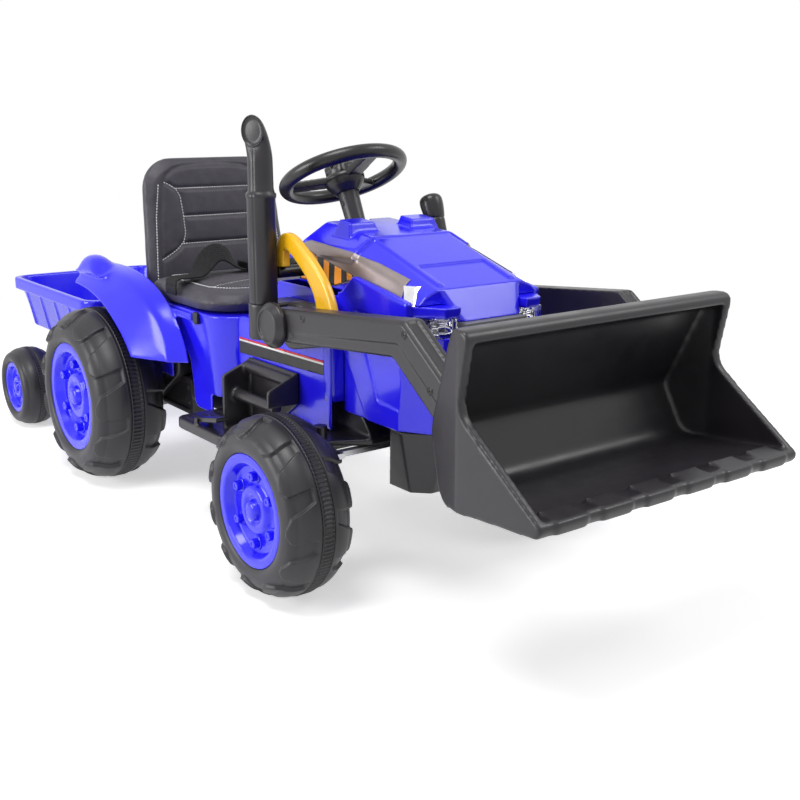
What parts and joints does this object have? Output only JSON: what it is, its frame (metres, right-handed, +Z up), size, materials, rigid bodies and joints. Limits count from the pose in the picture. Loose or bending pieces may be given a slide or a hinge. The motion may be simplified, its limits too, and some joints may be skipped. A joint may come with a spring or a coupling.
{
  "type": "ride-on tractor toy",
  "caption": "Child's ride-on toy tractor with lifting front loader bucket, padded seat, steered front wheels, exhaust stack and a hitched trailer tub.",
  "frame": {"origin": "on the ground, half way between the bucket's lip and the trailer's tail, on the middle plane", "axes": "+X forward towards the bucket, +Y to the rider's left, +Z up"},
  "size_m": [1.8, 0.589, 0.6703],
  "materials": {
    "blue_plastic": "gloss",
    "black_plastic": "satin",
    "tyre_plastic": "satin",
    "clear_lens": "clear",
    "yellow_plastic": "gloss",
    "button_red": "gloss",
    "seat_leather": "satin",
    "belt_webbing": "woven",
    "steel": "satin"
  },
  "bodies": {
    "tractor": {"battery": "black_plastic", "belt_buckle": "black_plastic", "bonnet": "blue_plastic", "chassis": "black_plastic", "corner_lamps": "clear_lens", "dash_panel": "black_plastic", "exhaust_stack": "black_plastic", "fender_left": "blue_plastic", "fender_right": "blue_plastic", "footrest_left": "black_plastic", "footrest_right": "black_plastic", "front_skirt": "blue_plastic", "gearbox_left": "black_plastic", "gearbox_right": "black_plastic", "grille": "black_plastic", "headlights": "clear_lens", "hitch_bracket": "black_plastic", "lap_belt": "belt_webbing", "middle_body": "blue_plastic", "nose": "black_plastic", "rear_axle": "steel", "seat_back": "seat_leather", "seat_base": "blue_plastic", "seat_cushion": "seat_leather", "seat_latches": "black_plastic", "tower_left": "black_plastic", "tower_right": "black_plastic"},
    "steering": {"steering_wheel": "black_plastic", "steering_neck": "black_plastic", "steering_shaft": "steel"},
    "horn_left": {"horn_button_left": "button_red"},
    "horn_right": {"horn_button_right": "button_red"},
    "knuckle_left": {"knuckle_left": "black_plastic"},
    "knuckle_right": {"knuckle_right": "black_plastic"},
    "tie_rod": {"tie_rod": "steel"},
    "loader": {"arm_left": "black_plastic", "arm_right": "black_plastic", "pivot_caps": "black_plastic", "bucket": "black_plastic", "lift_lever": "yellow_plastic", "lift_grip": "black_plastic"},
    "trailer": {"trailer_tub": "blue_plastic", "trailer_drawbar": "black_plastic", "trailer_axle": "steel"},
    "gear_lever": {"gear_lever": "black_plastic"},
    "pedal": {"pedal": "black_plastic"},
    "start_button": {"start_button": "button_red"},
    "front_wheel_left": {"front_tyre_left": "tyre_plastic", "front_hub_cap_left": "blue_plastic"},
    "front_wheel_right": {"front_tyre_right": "tyre_plastic", "front_hub_cap_right": "blue_plastic"},
    "rear_wheel_left": {"rear_tyre_left": "tyre_plastic", "rear_hub_cap_left": "blue_plastic"},
    "rear_wheel_right": {"rear_tyre_right": "tyre_plastic", "rear_hub_cap_right": "blue_plastic"},
    "trailer_wheel_left": {"trailer_tyre_left": "tyre_plastic", "trailer_hub_cap_left": "blue_plastic"},
    "trailer_wheel_right": {"trailer_tyre_right": "tyre_plastic", "trailer_hub_cap_right": "blue_plastic"}
  },
  "joints": [
    {"name": "steering_turn", "type": "hinge", "parent": "tractor", "child": "steering", "pos_m": [0.2035, 0, 0.577], "axis": [-0.4384, 0, 0.8988], "range_deg": [-28, 28]},
    {"name": "horn_press_left", "type": "slide", "parent": "steering", "child": "horn_left", "axis": [0.4384, 0, -0.8988], "range_m": [0, 0.0025], "stiffness_N_per_m": 300, "springref_m": -0.002},
    {"name": "horn_press_right", "type": "slide", "parent": "steering", "child": "horn_right", "axis": [0.4384, 0, -0.8988], "range_m": [0, 0.0025], "stiffness_N_per_m": 300, "springref_m": -0.002},
    {"name": "knuckle_turn_left", "type": "hinge", "parent": "tractor", "child": "knuckle_left", "pos_m": [0.38, 0.165, 0.2], "axis": [0, 0, 1], "range_deg": [-20, 20]},
    {"name": "knuckle_turn_right", "type": "hinge", "parent": "tractor", "child": "knuckle_right", "pos_m": [0.38, -0.165, 0.2], "axis": [0, 0, 1], "range_deg": [-20, 20]},
    {"name": "tie_rod_shift", "type": "slide", "parent": "tractor", "child": "tie_rod", "axis": [0, 1, 0], "range_m": [-0.013, 0.013]},
    {"name": "front_spin_left", "type": "hinge", "parent": "knuckle_left", "child": "front_wheel_left", "pos_m": [0.38, 0.238, 0.132], "axis": [0, 1, 0], "continuous": true},
    {"name": "rear_spin_left", "type": "hinge", "parent": "tractor", "child": "rear_wheel_left", "pos_m": [-0.278, 0.2215, 0.16], "axis": [0, 1, 0], "continuous": true},
    {"name": "trailer_spin_left", "type": "hinge", "parent": "trailer", "child": "trailer_wheel_left", "pos_m": [-0.71, 0.211, 0.085], "axis": [0, 1, 0], "continuous": true},
    {"name": "front_spin_right", "type": "hinge", "parent": "knuckle_right", "child": "front_wheel_right", "pos_m": [0.38, -0.238, 0.132], "axis": [0, 1, 0], "continuous": true},
    {"name": "rear_spin_right", "type": "hinge", "parent": "tractor", "child": "rear_wheel_right", "pos_m": [-0.278, -0.2215, 0.16], "axis": [0, 1, 0], "continuous": true},
    {"name": "trailer_spin_right", "type": "hinge", "parent": "trailer", "child": "trailer_wheel_right", "pos_m": [-0.71, -0.211, 0.085], "axis": [0, 1, 0], "continuous": true},
    {"name": "loader_lift", "type": "hinge", "parent": "tractor", "child": "loader", "pos_m": [0.332, 0, 0.381], "axis": [0, -1, 0], "range_deg": [-25, 10]},
    {"name": "trailer_swing", "type": "hinge", "parent": "tractor", "child": "trailer", "pos_m": [-0.37, 0, 0.15], "axis": [0, 0, 1], "range_deg": [-15, 15]},
    {"name": "gear_shift", "type": "hinge", "parent": "tractor", "child": "gear_lever", "pos_m": [0.315, 0.123, 0.437], "axis": [0, 1, 0], "range_deg": [-12, 12]},
    {"name": "pedal_press", "type": "hinge", "parent": "tractor", "child": "pedal", "pos_m": [0.096, -0.205, 0.1885], "axis": [0, 1, 0], "range_deg": [0, 10], "stiffness_Nm_per_rad": 2, "springref_deg": -5.73},
    {"name": "start_press", "type": "slide", "parent": "tractor", "child": "start_button", "axis": [0.9662, 0, -0.2577], "range_m": [0, 0.003], "stiffness_N_per_m": 300, "springref_m": -0.002}
  ],
  "couplings": [
    {"joint": "knuckle_turn_left", "follows": "steering_turn", "ratio": 0.714},
    {"joint": "knuckle_turn_right", "follows": "steering_turn", "ratio": 0.714},
    {"joint": "tie_rod_shift", "follows": "steering_turn", "m_per_rad": 0.0258}
  ]
}
